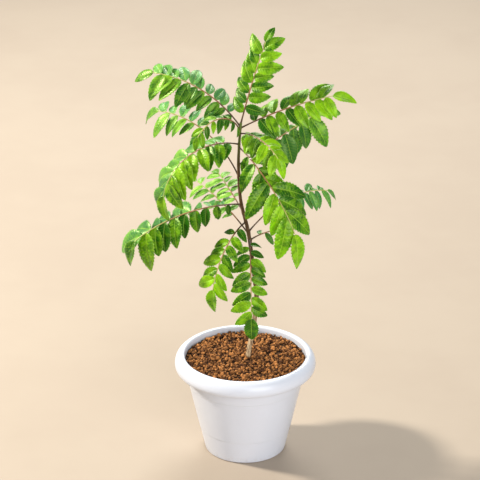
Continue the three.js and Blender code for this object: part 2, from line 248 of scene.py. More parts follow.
@dataclass
class Skin:
    """Points, faces and point values of one piece, gathered surface by surface before its mesh is made."""

    points: list[Array] = field(default_factory=list)
    faces: list[Array] = field(default_factory=list)
    slots: list[Array] = field(default_factory=list)
    maps: list[Array] = field(default_factory=list)
    values: list[dict[str, Array]] = field(default_factory=list)
    count: int = 0

    def add(self, points: Array, faces: Sequence[Array], slot: int = 0, uv: Optional[Array] = None,
            **values: Number) -> "Skin":
        """Adds one surface.

        Args:
            points: Its points in millimetres.
            faces: Arrays of point numbers, each with three or four columns.
            slot: Number of its material on the piece.
            uv: Two map coordinates for each point, or None for zeros.
            **values: Named values, one number or one for each point.

        Returns:
            The same skin.
        """
        number = len(points)
        self.points.append(points)
        for array in faces:
            self.faces.append(array + self.count)
            self.slots.append(np.full(len(array), slot, np.int32))
        self.maps.append(np.zeros((number, 2)) if uv is None else uv)
        self.values.append({name: np.broadcast_to(value, (number,)) for name, value in values.items()})
        self.count += number
        return self

    def make(self, name: str, materials: Sequence[Material], sharp_angle: Optional[float] = None) -> Piece:
        """Makes the piece's object, with smooth faces, one UV map and its point values as attributes.

        Args:
            name: Name of the piece.
            materials: Its materials, in the order of their numbers.
            sharp_angle: Edges that turn by more than this many degrees are drawn sharp, if given.

        Returns:
            The new object, at the origin.
        """
        mesh = bpy.data.meshes.new(name)
        loops = np.concatenate([array.ravel() for array in self.faces]).astype(np.int32)
        totals = np.concatenate([np.full(len(array), array.shape[1]) for array in self.faces])
        starts = np.concatenate([[0], np.cumsum(totals)[:-1]]).astype(np.int32)
        mesh.vertices.add(self.count)
        mesh.vertices.foreach_set("co", (np.vstack(self.points) * MM).astype(np.float32).ravel())
        mesh.loops.add(len(loops))
        mesh.loops.foreach_set("vertex_index", loops)
        mesh.polygons.add(len(starts))
        mesh.polygons.foreach_set("loop_start", starts)
        mesh.polygons.foreach_set("material_index", np.concatenate(self.slots))
        mesh.polygons.foreach_set("use_smooth", np.ones(len(starts), bool))
        mesh.update(calc_edges=True)
        layer = mesh.uv_layers.new(name="skin")
        layer.data.foreach_set("uv", np.vstack(self.maps)[loops].astype(np.float32).ravel())
        for title in sorted({title for part in self.values for title in part}):
            parts = [part.get(title, np.zeros(len(places)))
                     for part, places in zip(self.values, self.points)]
            attribute = mesh.attributes.new(title, "FLOAT", "POINT")
            attribute.data.foreach_set("value", np.concatenate(parts).astype(np.float32))
        for material in materials:
            mesh.materials.append(material)
        if sharp_angle is not None:
            mesh.set_sharp_from_angle(angle=math.radians(sharp_angle))
        piece = bpy.data.objects.new(name, mesh)
        bpy.context.scene.collection.objects.link(piece)
        return piece


def settle(piece: Piece, node: str) -> Piece:
    """Puts a finished piece on the part's body, in place of its CAD node, and reports it.

    Args:
        piece: The piece.
        node: The CAD node that it stands for.

    Returns:
        The same piece.
    """
    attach(piece, BODY)
    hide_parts(node)
    LOG.info("%s: %d faces, in place of %s", piece.name, len(piece.data.polygons), node)
    return piece


# ------------------------------------------------------------------ node trees

Feed = Union[Socket, float, Triple]


class Graph:
    """A node tree, with short calls that add nodes and join them."""

    def __init__(self, tree: Tree) -> None:
        """Keeps the tree."""
        self.tree = tree

    def node(self, kind: str, **settings: object) -> bpy.types.Node:
        """Adds a node.

        Args:
            kind: Its type.
            **settings: Its own settings.

        Returns:
            The node.
        """
        node = self.tree.nodes.new(kind)
        for name, value in settings.items():
            setattr(node, name, value)
        return node

    def feed(self, socket: Socket, value: Feed) -> None:
        """Links an output to a socket, or sets the socket to a constant. A colour's alpha is solid.

        Args:
            socket: The socket.
            value: What it gets.
        """
        if isinstance(value, Socket):
            self.tree.links.new(value, socket)
        else:
            socket.default_value = (*value, 1.0) if socket.type == "RGBA" else value

    def fill(self, node: bpy.types.Node, *values: Feed, **inputs: Feed) -> bpy.types.Node:
        """Feeds a node's inputs, in their order or by their names.

        Args:
            node: The node.
            *values: What its first inputs get.
            **inputs: What the inputs of these names get.

        Returns:
            The same node.
        """
        for socket, value in zip(node.inputs, values):
            self.feed(socket, value)
        for title, value in inputs.items():
            self.feed(node.inputs[title], value)
        return node

    def math(self, operation: str, *values: Feed, clamp: bool = False) -> Socket:
        """The result of a Math node."""
        node = self.node("ShaderNodeMath", operation=operation, use_clamp=clamp)
        return self.fill(node, *values).outputs[0]

    def plus(self, first: Feed, second: Feed, clamp: bool = False) -> Socket:
        """The sum of two values."""
        return self.math("ADD", first, second, clamp=clamp)

    def minus(self, first: Feed, second: Feed, clamp: bool = False) -> Socket:
        """The first value less the second."""
        return self.math("SUBTRACT", first, second, clamp=clamp)

    def times(self, first: Feed, second: Feed) -> Socket:
        """The product of two values."""
        return self.math("MULTIPLY", first, second)

    def swing(self, mask: Feed, reach: float) -> Socket:
        """How far a mask lies above or below one half, times a reach."""
        return self.times(self.minus(mask, 0.5), reach)

    def blend(self, share: Feed, first: Feed, second: Feed) -> Socket:
        """Mixes two colours. Those of a Mix node are its inputs 6 and 7, and its output 2.

        Args:
            share: 0 for the first colour and 1 for the second.
            first: The first colour.
            second: The second colour.

        Returns:
            The mixed colour.
        """
        node = self.node("ShaderNodeMix", data_type="RGBA")
        for number, value in zip((0, 6, 7), (share, first, second)):
            self.feed(node.inputs[number], value)
        return node.outputs[2]

    def span(self, value: Feed, low: float, high: float, to_low: float = 0.0,
             to_high: float = 1.0) -> Socket:
        """A value carried smoothly from one range to another, and held at its ends."""
        node = self.node("ShaderNodeMapRange", interpolation_type="SMOOTHSTEP")
        return self.fill(node, value, low, high, to_low, to_high).outputs[0]

    def noise(self, vector: Feed, scale: Feed, detail: float = 2.0, roughness: float = 0.5) -> Socket:
        """A noise value of about 0.2 to 0.8."""
        node = self.fill(self.node("ShaderNodeTexNoise"), Vector=vector, Scale=scale)
        return self.fill(node, Detail=detail, Roughness=roughness).outputs[0]

    def cells(self, vector: Feed, scale: Feed) -> Socket:
        """The distance to the nearest of many scattered points."""
        node = self.node("ShaderNodeTexVoronoi")
        return self.fill(node, Vector=vector, Scale=scale).outputs["Distance"]

    def attribute(self, name: str) -> Socket:
        """A point value of the piece."""
        return self.node("ShaderNodeAttribute", attribute_name=name).outputs["Fac"]

    def place(self) -> Socket:
        """The point's place in the part's frame, in metres."""
        return self.node("ShaderNodeTexCoord").outputs["Object"]

    def stretched(self, vector: Feed, scale: Triple) -> Socket:
        """A place multiplied along each axis."""
        return self.fill(self.node("ShaderNodeMapping"), Vector=vector, Scale=scale).outputs[0]

    def axes(self, vector: Feed) -> tuple[Socket, ...]:
        """The x, y and z of a vector."""
        return tuple(self.fill(self.node("ShaderNodeSeparateXYZ"), Vector=vector).outputs)

    def use(self, group: Tree, **inputs: Feed) -> Socket:
        """The first output of a shared group, placed here with its own values."""
        return self.fill(self.node("ShaderNodeGroup", node_tree=group), **inputs).outputs[0]

    def bump(self, height: Feed, depth_mm: float, strength: float = 1.0) -> Socket:
        """A normal bent by a height from 0 to 1 that stands for a real depth."""
        node = self.node("ShaderNodeBump")
        return self.fill(node, Strength=strength, Distance=depth_mm * MM, Height=height).outputs[0]


class Paint(Graph):
    """The node tree of a new material with one Principled shader."""

    def __init__(self, name: str, **constants: Union[float, Triple]) -> None:
        """Makes the material and its shader.

        Args:
            name: Name of the material.
            **constants: Values that are the same all over the surface, named as dress names them.
        """
        self.material = bpy.data.materials.new(name)
        self.material.use_nodes = True
        super().__init__(self.material.node_tree)
        self.tree.nodes.clear()
        self.shader = self.node("ShaderNodeBsdfPrincipled")
        self.fill(self.node("ShaderNodeOutputMaterial"), Surface=self.shader.outputs[0])
        self.dress(**constants)

    def dress(self, **inputs: Feed) -> Material:
        """Feeds the shader's sockets.

        Args:
            **inputs: What each socket gets. Its name is in small letters, with underscores for spaces.

        Returns:
            The material.
        """
        sockets = {socket.name.lower().replace(" ", "_"): socket for socket in self.shader.inputs}
        for title, value in inputs.items():
            self.feed(sockets[title], value)
        return self.material


def new_group(name: str, output: str, **inputs: float) -> tuple[Graph, bpy.types.Node, bpy.types.Node]:
    """An empty shared group that takes a vector and named numbers, and puts out one number.

    Args:
        name: Name of the group.
        output: Name of its output.
        **inputs: First value of each number.

    Returns:
        The group's graph, its input node and its output node.
    """
    tree = bpy.data.node_groups.new(name, "ShaderNodeTree")
    tree.interface.new_socket("Vector", in_out="INPUT", socket_type="NodeSocketVector")
    for title, value in inputs.items():
        socket = tree.interface.new_socket(title, in_out="INPUT", socket_type="NodeSocketFloat")
        socket.default_value = value
    tree.interface.new_socket(output, in_out="OUTPUT", socket_type="NodeSocketFloat")
    graph = Graph(tree)
    return graph, graph.node("NodeGroupInput"), graph.node("NodeGroupOutput")


def mottle_group() -> Tree:
    """Blotches from 0 to 1: broad noise plus a third of noise five times finer, with more contrast.

    Returns:
        The group.
    """
    graph, given, result = new_group("mottle", "Mask", Scale=50.0)
    vector, scale = given.outputs["Vector"], given.outputs["Scale"]
    broad = graph.noise(vector, scale)
    fine = graph.noise(vector, graph.times(scale, 5.0))
    both = graph.plus(broad, graph.swing(fine, 0.33))
    graph.feed(result.inputs["Mask"], graph.span(both, 0.3, 0.7))
    return graph.tree


def relief_group() -> Tree:
    """A grainy height from 0 to 1: many-layered noise less a share of the distance in rounded cells.

    Returns:
        The group.
    """
    graph, given, result = new_group("grain_relief", "Height", Scale=500.0, Cells=0.0)
    vector, scale = given.outputs["Vector"], given.outputs["Scale"]
    grain = graph.noise(vector, scale, detail=5.0, roughness=0.6)
    hollow = graph.times(graph.cells(vector, scale), given.outputs["Cells"])
    graph.feed(result.inputs["Height"], graph.minus(grain, hollow))
    return graph.tree


def dust_group() -> Tree:
    """A broken band of dust: strongest at a level, gone at its reach from there, and torn by noise.

    Returns:
        The group.
    """
    graph, given, result = new_group("dust", "Mask", Level=0.0, Reach=0.02, Scale=120.0)
    vector = given.outputs["Vector"]
    away = graph.math("ABSOLUTE", graph.minus(graph.axes(vector)[2], given.outputs["Level"]))
    band = graph.minus(1.0, graph.math("DIVIDE", away, given.outputs["Reach"]), clamp=True)
    torn = graph.noise(vector, given.outputs["Scale"], detail=4.0, roughness=0.65)
    graph.feed(result.inputs["Mask"], graph.times(band, graph.span(torn, 0.42, 0.66)))
    return graph.tree


@dataclass(frozen=True)
class SharedEffects:
    """Effects that more than one finish uses, each a node group that is built once."""

    mottle: Tree = field(default_factory=mottle_group)
    relief: Tree = field(default_factory=relief_group)
    dust: Tree = field(default_factory=dust_group)


# ------------------------------------------------------------------ finishes


@dataclass(frozen=True)
class PlanterFinish:
    """Smooth white moulded plastic with a satin skin, dusty at its foot and above the soil line, with a
    painted bluish cast of sky light.
    """

    # The bluish cast of body and shade is painted sky light on the white plastic; the clouds between them
    # are its own faint tone.
    body: Triple = (0.61, 0.64, 0.72)
    shade: Triple = (0.58, 0.60, 0.67)
    earth: Triple = (0.42, 0.30, 0.20)
    cloud_share: float = 0.35
    mouth: Pair = (0.1095, 0.1105)
    foot_dust: float = 0.2
    line_dust: float = 0.35
    roughness: float = 0.34
    flow_lines: Triple = (3.0, 3.0, 60.0)
    flow_roughness: float = 0.12
    dust_roughness: float = 0.4

    def material(self, effects: SharedEffects) -> Material:
        """Builds the material: faint clouds, flow lines in the gloss, and dust at two heights.

        Args:
            effects: The shared effects.

        Returns:
            The material.
        """
        paint = Paint("planter_plastic", ior=1.49, coat_weight=0.15, coat_roughness=0.25)
        place = paint.place()
        clouds = paint.use(effects.mottle, Vector=place, Scale=14.0)
        colour = paint.blend(paint.times(clouds, self.cloud_share), self.body, self.shade)
        foot = paint.use(effects.dust, Vector=place, Level=0.0, Reach=0.016, Scale=160.0)
        line = paint.use(effects.dust, Vector=place, Level=SOIL_LEVEL * MM, Reach=0.004, Scale=240.0)
        x, y, _ = paint.axes(place)
        radius = paint.math("SQRT", paint.plus(paint.math("POWER", x, 2.0), paint.math("POWER", y, 2.0)))
        inside = paint.span(radius, *self.mouth, 1.0, 0.0)
        soiled = paint.plus(paint.times(foot, self.foot_dust),
                            paint.times(line, paint.times(inside, self.line_dust)), clamp=True)
        flow = paint.noise(paint.stretched(place, self.flow_lines), scale=9.0, detail=3.0)
        gloss = paint.plus(paint.swing(flow, self.flow_roughness), self.roughness)
        skin = paint.use(effects.relief, Vector=place, Scale=900.0, Cells=0.0)
        return paint.dress(base_color=paint.blend(soiled, colour, self.earth),
                           roughness=paint.plus(gloss, paint.times(soiled, self.dust_roughness)),
                           normal=paint.bump(skin, depth_mm=0.02, strength=0.5))


@dataclass(frozen=True)
class SoilFinish:
    """Crumbly brown potting soil: tan or dark brown by each crumb's own tone, with painted shade that turns
    it nearly black low in the gaps.
    """

    dry: Triple = (0.495, 0.207, 0.060)
    moist: Triple = (0.050, 0.016, 0.004)
    # The near-black colour of painted shade, for points that lie low between the crumbs.
    gap: Triple = (0.010, 0.005, 0.003)
    grit_swing: float = 0.5

    def material(self, effects: SharedEffects) -> Material:
        """Builds the material from each crumb's own tone, and painted shade by how deep it lies.

        Args:
            effects: The shared effects.

        Returns:
            The material.
        """
        paint = Paint("potting_soil", roughness=0.92, specular_ior_level=0.25)
        place = paint.place()
        grit = paint.use(effects.mottle, Vector=place, Scale=260.0)
        share = paint.plus(paint.attribute("tone"), paint.swing(grit, self.grit_swing), clamp=True)
        crumb = paint.blend(share, self.moist, self.dry)
        grain = paint.use(effects.relief, Vector=place, Scale=1100.0, Cells=0.6)
        # Painted shade: the lower a point lies, the nearer its colour is to the near-black gap colour.
        return paint.dress(base_color=paint.blend(paint.attribute("depth"), crumb, self.gap),
                           normal=paint.bump(grain, depth_mm=0.5))


@dataclass(frozen=True)
class BarkFinish:
    """Thin bark: tan grey and fissured at the foot, dark brown with pale pores above, green at the tip."""

    foot: Triple = (0.60, 0.46, 0.28)
    fissure: Triple = (0.22, 0.13, 0.07)
    brown: Triple = (0.085, 0.040, 0.014)
    pore: Triple = (0.30, 0.19, 0.10)
    young: Triple = (0.120, 0.150, 0.030)
    foot_fades: Pair = (0.255, 0.335)
    young_grows: Pair = (0.56, 0.65)
    ragged: float = 0.06
    fissure_stretch: Triple = (1.0, 1.0, 0.12)
    fissure_edges: Pair = (0.42, 0.58)
    pore_stretch: Triple = (1.0, 1.0, 0.7)
    pore_edges: Pair = (0.16, 0.30)
    pore_paint: float = 0.55
    streak_paint: float = 0.4
    old_roughness: float = 0.78
    young_roughness: float = 0.5

    def material(self, effects: SharedEffects) -> Material:
        """Builds the material by height, with long fissures and rows of small pores.

        Args:
            effects: The shared effects.

        Returns:
            The material.
        """
        paint = Paint("bark", specular_ior_level=0.35)
        place = paint.place()
        noise = paint.noise(place, scale=60.0)
        torn = paint.plus(paint.axes(place)[2], paint.times(noise, self.ragged))
        low = paint.span(torn, *self.foot_fades, 1.0, 0.0)
        top = paint.span(torn, *self.young_grows)
        lengthwise = paint.stretched(place, self.fissure_stretch)
        cracks = paint.span(paint.noise(lengthwise, scale=700.0, detail=4.0), *self.fissure_edges)
        foot = paint.blend(cracks, self.fissure, self.foot)
        dots = paint.cells(paint.stretched(place, self.pore_stretch), scale=420.0)
        pores = paint.span(dots, *self.pore_edges, 1.0, 0.0)
        clouds = paint.use(effects.mottle, Vector=place, Scale=110.0)
        upper = paint.blend(paint.times(clouds, self.streak_paint), self.brown, self.fissure)
        upper = paint.blend(paint.times(pores, self.pore_paint), upper, self.pore)
        upper = paint.blend(top, upper, self.young)
        dust = paint.use(effects.dust, Vector=place, Level=SOIL_LEVEL * MM, Reach=0.022, Scale=300.0)
        ridges = paint.use(effects.relief, Vector=lengthwise, Scale=900.0, Cells=0.3)
        return paint.dress(base_color=paint.blend(dust, paint.blend(low, upper, foot), self.pore),
                           roughness=paint.span(top, 0.0, 1.0, self.old_roughness, self.young_roughness),
                           normal=paint.bump(ridges, depth_mm=0.35))


@dataclass(frozen=True)
class LeafFinish:
    """A leaflet's waxy skin: dark green when old, bright yellow-green when young, paler beneath, with a
    painted pale bluish sky reflection and a painted pale edge highlight.
    """

    mature: Triple = (0.006, 0.078, 0.002)
    young: Triple = (0.250, 0.500, 0.004)
    # This pale bluish green is a painted sky reflection, not the leaf's own colour.
    cool: Triple = (0.100, 0.330, 0.120)
    vein: Triple = (0.400, 0.620, 0.060)
    beneath: Triple = (0.190, 0.370, 0.070)
    patches: float = 0.6
    midrib_edges: Pair = (0.015, 0.075)
    side_vein_narrows: float = 9.0
    side_vein_fades: Pair = (0.98, 0.7)
    side_vein_height: float = 0.30
    vein_paint: float = 0.50
    # A painted highlight: a pale yellow-green rim along each leaflet's edge.
    edge_highlight_span: Pair = (0.88, 1.0)
    edge_highlight_paint: float = 0.5
    underside_paint: float = 0.8
    roughness: float = 0.28
    underside_roughness: float = 0.25
    cloud_roughness: float = 0.10
    cell_height: float = 0.35

    def material(self, effects: SharedEffects) -> Material:
        """Builds the material from the leaflet's map across it and from its own values.

        Args:
            effects: The shared effects.

        Returns:
            The material.
        """
        paint = Paint("leaflet", ior=1.45, specular_ior_level=0.6, specular_tint=(0.75, 1.0, 0.35),
                      subsurface_weight=0.35, subsurface_radius=(0.5, 1.0, 0.15), subsurface_scale=0.0012)
        place = paint.place()
        across, _, _ = paint.axes(paint.node("ShaderNodeUVMap", uv_map="skin").outputs[0])
        edge = paint.math("ABSOLUTE", paint.math("MULTIPLY_ADD", across, 2.0, -1.0))
        clouds = paint.use(effects.mottle, Vector=place, Scale=75.0)
        youth = paint.plus(paint.attribute("youth"), paint.swing(clouds, self.patches), clamp=True)
        colour = paint.blend(youth, self.mature, self.young)
        # Painted reflection: leaflets are blended towards a pale bluish green that stands for sky light
        # reflected on their faces.
        colour = paint.blend(paint.attribute("cool"), colour, self.cool)
        phase = paint.times(paint.attribute("vein"), TURN)
        wave = paint.math("MULTIPLY_ADD", paint.math("COSINE", phase), 0.5, 0.5)
        narrow = paint.math("POWER", wave, self.side_vein_narrows)
        side_vein = paint.times(narrow, paint.span(edge, *self.side_vein_fades))
        midrib = paint.span(edge, *self.midrib_edges, 1.0, 0.0)
        veins = paint.math("MAXIMUM", midrib, paint.times(side_vein, self.side_vein_height))
        colour = paint.blend(paint.times(veins, self.vein_paint), colour, self.vein)
        # Painted highlight: the leaflet's edge is blended towards the pale vein colour.
        colour = paint.blend(paint.span(edge, *self.edge_highlight_span, 0.0, self.edge_highlight_paint), colour, self.vein)
        beneath = paint.attribute("underside")
        gloss = paint.plus(paint.times(beneath, self.underside_roughness), self.roughness)
        cells = paint.use(effects.relief, Vector=place, Scale=1500.0, Cells=0.5)
        sunk = paint.minus(paint.times(cells, self.cell_height), veins)
        return paint.dress(
            base_color=paint.blend(paint.times(beneath, self.underside_paint), colour, self.beneath),
            roughness=paint.plus(gloss, paint.times(clouds, self.cloud_roughness)),
            normal=paint.bump(sunk, depth_mm=0.26, strength=0.9))


@dataclass(frozen=True)
class RachisFinish:
    """A frond's thin axis: brown by the stem, then reddish tan, and yellow-green at its end."""

    woody: Triple = (0.075, 0.036, 0.016)
    ruddy: Triple = (0.300, 0.150, 0.062)
    green: Triple = (0.420, 0.440, 0.110)
    cloud_swing: float = 0.16
    wood_ends: Pair = (0.10, 0.42)
    green_grows: Pair = (0.45, 1.0)

    def material(self, effects: SharedEffects) -> Material:
        """Builds the material along the frond.

        Args:
            effects: The shared effects.

        Returns:
            The material.
        """
        paint = Paint("rachis", roughness=0.42, ior=1.45, coat_weight=0.1)
        place = paint.place()
        clouds = paint.use(effects.mottle, Vector=place, Scale=160.0)
        way = paint.plus(paint.attribute("way"), paint.swing(clouds, self.cloud_swing))
        colour = paint.blend(paint.span(way, *self.wood_ends), self.woody, self.ruddy)
        grain = paint.use(effects.relief, Vector=place, Scale=1300.0, Cells=0.2)
        return paint.dress(base_color=paint.blend(paint.span(way, *self.green_grows), colour, self.green),
                           normal=paint.bump(grain, depth_mm=0.08))


@dataclass(frozen=True)
class FloorFinish:
    """Plain pale matt ground."""

    ground: Triple = (0.42, 0.35, 0.28)
    shade: Triple = (0.405, 0.335, 0.268)

    def material(self, effects: SharedEffects) -> Material:
        """Builds the material: one colour with the faintest clouds.

        Args:
            effects: The shared effects.

        Returns:
            The material.
        """
        paint = Paint("plain_ground", roughness=0.85, specular_ior_level=0.2)
        clouds = paint.use(effects.mottle, Vector=paint.place(), Scale=3.0)
        return paint.dress(base_color=paint.blend(clouds, self.ground, self.shade))


# ------------------------------------------------------------------ planter


@dataclass(frozen=True)
class Planter:
    """A tapered tub under a broad rounded collar, hollow below, with drainage holes through its floor.

    A value whose name ends in turn is how far the small curve of its corners reaches.
    """

    height: float = 187.0
    rim_radius: float = 127.0
    crest_radius: float = 113.0
    mouth_radius: float = 109.0
    belly_height: float = 168.0
    channel_top: float = 176.0
    base_radius: float = 72.5
    shoulder_radius: float = 109.0
    collar_bottom: float = 159.0
    collar_lip: float = 2.0
    collar_edge_radius: float = 125.0
    wall: float = 2.8
    floor: float = 3.2
    chamfer: float = 2.0
    bands: tuple[float, ...] = (45.0, 132.0)
    band_step: float = 0.8
    floor_ring: float = 20.0
    foot_margin: float = 12.0
    foot_turn: float = 1.0
    band_turn: float = 0.5
    channel_turn: float = 2.0
    lip_turn: float = 0.8
    edge_turn: float = 0.9
    throat_turn: float = 1.0
    inner_foot_turn: float = 3.0
    skirt_steps: int = 6
    belly_steps: int = 16
    crest_steps: int = 8
    sides: int = 192
    sharp_angle: float = 50.0
    drain_count: int = 6
    drain_radius: float = 5.0
    drain_ring: float = 45.0
    drain_sides: int = 28

    def tub_radius(self, height: Number) -> Number:
        """Radius of the tub's outside at a height, along its straight taper."""
        return lerp(self.base_radius, self.shoulder_radius, height / self.collar_bottom)

    def profile(self) -> Array:
        """The section from the axis under the floor, up the outside, over the collar and down the inside.

        Returns:
            Radius and height of each point. The collar's outside is a piece of one ellipse under its
            widest place and a quarter of another above it, with their middles straight under the crest,
            and a quarter circle leads down to the mouth. Other corners are turned by small curves.
        """
        foot = [(0, 0, 0), (self.floor_ring, 0, 0), (self.base_radius - self.foot_margin, 0, 0),
                (self.base_radius - self.chamfer, 0, self.foot_turn),
                (self.tub_radius(self.chamfer), self.chamfer, self.foot_turn)]
        steps = []
        for band in self.bands:
            radius, half = self.tub_radius(band), self.band_step / 2
            steps.append((radius - half, band, self.band_turn))
            steps.append((radius + half, band + self.band_step, self.band_turn))
        lip = self.collar_bottom + self.collar_lip
        edge, top = self.collar_edge_radius, self.channel_top
        hollow = [(self.tub_radius(top) - self.band_step, top, self.channel_turn),
                  (self.rim_radius - 2 * self.wall, top, self.channel_turn),
                  (edge - self.wall, self.collar_bottom + self.collar_lip / 2, self.lip_turn),
                  (edge - self.wall / 2, self.collar_bottom, self.edge_turn),
                  (edge, lip, 0)]
        reach = self.rim_radius - self.crest_radius
        lip_angle = math.acos((edge - self.crest_radius) / reach)
        below = (self.belly_height - lip) / math.sin(lip_angle)
        above = self.height - self.belly_height
        bead = self.crest_radius - self.mouth_radius
        middle = (self.crest_radius, self.belly_height)
        skirt = arc(middle, (reach, below), -lip_angle, 0, self.skirt_steps)
        belly = arc(middle, (reach, above), 0, math.pi / 2, self.belly_steps)
        crest = arc((self.crest_radius, self.height - bead), (bead, bead), math.pi / 2, math.pi,
                    self.crest_steps)
        throat = (self.mouth_radius + self.wall - self.base_radius) * self.collar_bottom
        throat /= self.shoulder_radius - self.base_radius
        inside = rounded([(self.mouth_radius, self.height - bead, 0),
                          (self.mouth_radius, throat, self.throat_turn),
                          (self.tub_radius(self.floor) - self.wall, self.floor, self.inner_foot_turn),
                          (self.floor_ring, self.floor, 0), (0, self.floor, 0)])
        outside = rounded(foot + steps + hollow)
        return np.vstack([outside[:-1], skirt[:-1], belly[:-1], crest[:-1], inside])

    def build(self, material: Material) -> Piece:
        """Makes the planter and drills its drainage holes.

        Args:
            material: Its plastic.

        Returns:
            The finished piece.
        """
        tub = Skin().add(*closed_tube(lathe_rings(self.profile()[1:-1], self.sides)))
        body = tub.make("planter", [material], self.sharp_angle)
        section = np.array([[self.drain_radius, -self.floor], [self.drain_radius, 2 * self.floor]])
        points, faces = closed_tube(lathe_rings(section, self.drain_sides))
        drill = Skin()
        for cosine, sine in zip(*circle(self.drain_count)):
            drill.add(points + self.drain_ring * np.array([cosine, sine, 0]), faces)
        cutter = drill.make("planter_drills", [material])
        cut = body.modifiers.new("drain_holes", "BOOLEAN")
        cut.operation = "DIFFERENCE"
        cut.solver = "EXACT"
        cut.object = cutter
        drilled = bpy.data.meshes.new_from_object(body.evaluated_get(bpy.context.evaluated_depsgraph_get()))
        body.modifiers.clear()
        body.data = drilled
        drilled.set_sharp_from_angle(angle=math.radians(self.sharp_angle))
        bpy.data.objects.remove(cutter)
        return settle(body, "pot")


# ------------------------------------------------------------------ stem


@dataclass(frozen=True)
class Stem:
    """One slender woody stem: a smooth curve through knots of x, y, z and radius."""

    knots: tuple[tuple[float, float, float, float], ...] = (
        (3, 3, 118, 4.6), (5, 3, 180, 4.6), (15, 4, 240, 4.3), (20, 5, 300, 4.0), (14, 4, 355, 3.7),
        (5, 2, 425, 3.3), (-8, 0, 485, 2.9), (-12, -1, 545, 2.6), (-11, 0, 590, 2.4), (-8, 0, 632, 2.2))
    tension: float = 0.5
    table_rows: int = 4001
    sides: int = 32
    rows: int = 340
    seed: int = 5
    ridge: float = 0.045
    ridge_pace: float = 1.1
    ridge_drift: float = 0.012
    scar_height: float = 2.6
    scar_bulge: float = 0.16
    scar_all_round: float = 0.25
    scar_heading: float = 2.4
    old_scars: tuple[float, ...] = (203, 228, 262, 291, 322, 347, 371, 389)

    def centre(self, shares: Array) -> Array:
        """Points of the centre line at shares of it, by a Catmull-Rom curve through the knots.

        Between two knots the curve is the cubic with their places as its ends and, as its end slopes,
        tension times the step between each knot's neighbours. Past both ends the first and last steps
        are repeated.

        Args:
            shares: Shares of the line, by knots.

        Returns:
            One point for each share.
        """
        path = np.array(self.knots, float)[:, :3]
        path = np.vstack([2 * path[0] - path[1], path, 2 * path[-1] - path[-2]])
        place = np.clip(shares, 0, 1) * (len(self.knots) - 1)
        knot = np.minimum(np.floor(place).astype(int), len(self.knots) - 2)
        part = (place - knot)[:, None]
        before, start, end, after = (path[knot + step] for step in range(4))
        leave, arrive = self.tension * (end - before), self.tension * (after - start)
        return (start + leave * part + (3 * (end - start) - 2 * leave - arrive) * part**2
                + (2 * (start - end) + leave + arrive) * part**3)

    def radius(self, shares: Array) -> Array:
        """Radii of the stem at shares of it, straight between knots."""
        radii = [knot[3] for knot in self.knots]
        return np.interp(shares * (len(self.knots) - 1), np.arange(len(self.knots)), radii)

    def at_height(self, height: float) -> Array:
        """The centre of the stem at a height, read from a fine table of the line.

        Args:
            height: The height.

        Returns:
            The centre, as x, y and z.
        """
        shares = np.linspace(0, 1, self.table_rows)
        line = self.centre(shares)
        return self.centre(np.interp([height], line[:, 2], shares))[0]

    def build(self, fronds: Sequence["Frond"], material: Material) -> Piece:
        """Makes the stem, with a swelling under each frond and old leaf scars lower down.

        The radius is multiplied by one plus long ridges, and by one plus a bell curve of the height from
        each scar that is strongest on the side where its frond leaves.

        Args:
            fronds: The fronds that grow from it.
            material: Its bark.

        Returns:
            The finished piece.
        """
        shares = np.linspace(0, 1, self.rows)
        centre = self.centre(shares)
        along = unit(np.gradient(centre, axis=0))
        upper = unit(np.cross(along, [1.0, 0.0, 0.0]))
        across = np.cross(upper, along)
        cosine, sine = circle(self.sides)
        around = across[:, None] * cosine[:, None] + upper[:, None] * sine[:, None]
        height = centre[:, 2][:, None]
        grain = around * self.ridge_pace + centre[:, None] * [0, 0, self.ridge_drift]
        swell = 1 + self.ridge * smooth_noise(grain, self.seed)
        scars = [(frond.spec.height, math.radians(frond.spec.azimuth)) for frond in fronds]
        scars += [(scar, self.scar_heading * number) for number, scar in enumerate(self.old_scars)]
        for scar, azimuth in scars:
            near = np.exp(-(((height - scar) / self.scar_height) ** 2))
            facing = np.clip(around @ [math.cos(azimuth), math.sin(azimuth), 0], 0, 1)
            swell = swell + self.scar_bulge * near * (self.scar_all_round + facing)
        rings = centre[:, None] + around * (self.radius(shares)[:, None] * swell)[..., None]
        skin = Skin().add(*closed_tube(rings))
        return settle(skin.make("stem_bark", [material]), "stem")


# ------------------------------------------------------------------ fronds


class Use(IntEnum):
    """What a leaflet's repeatable draws are for. The first four are the CAD model's own."""

    SPREAD = 1
    HANG = 2
    LENGTH = 3
    TWIST = 4
    BEND = 5
    FOLD = 6
    PHASE = 7
    YOUTH = 9


@dataclass(frozen=True)
class FrondSpec:
    """How one frond grows. The words are those of the CAD model, with three more for its looks.

    The frond leaves the stem at a height towards an azimuth, climbing at rise degrees. It sinks by droop
    degrees along its length, later on where ease is over 1, and swings by sweep degrees. roll turns its
    plane about its own rachis, and its first bare part is stalk. Its leaflets reach up to the share last.
    leaf is the length of its largest leaflets, and breadth their width as a share of that. They sag by
    hang degrees, and first and end are the shares of leaf which its first and its terminal one have.
    youth makes it bright and cool paints a pale bluish sky reflection on it, each from 0 to 1, and pale
    names a side, 1 or
    -1, whose leaflets get more of that painted reflection.
    """

    name: str
    height: float
    azimuth: float
    rise: float
    droop: float
    length: float
    bare: float
    leaflets: int
    leaf: float
    first: float
    hang: float
    ease: float = 1.0
    sweep: float = 0.0
    roll: float = 0.0
    last: float = 0.95
    end: float = 1.0
    breadth: float = 0.45
    youth: float = 0.4
    # A painted pale bluish sky reflection, and the side of the frond that gets more of it.
    cool: float = 0.0
    pale: int = 0


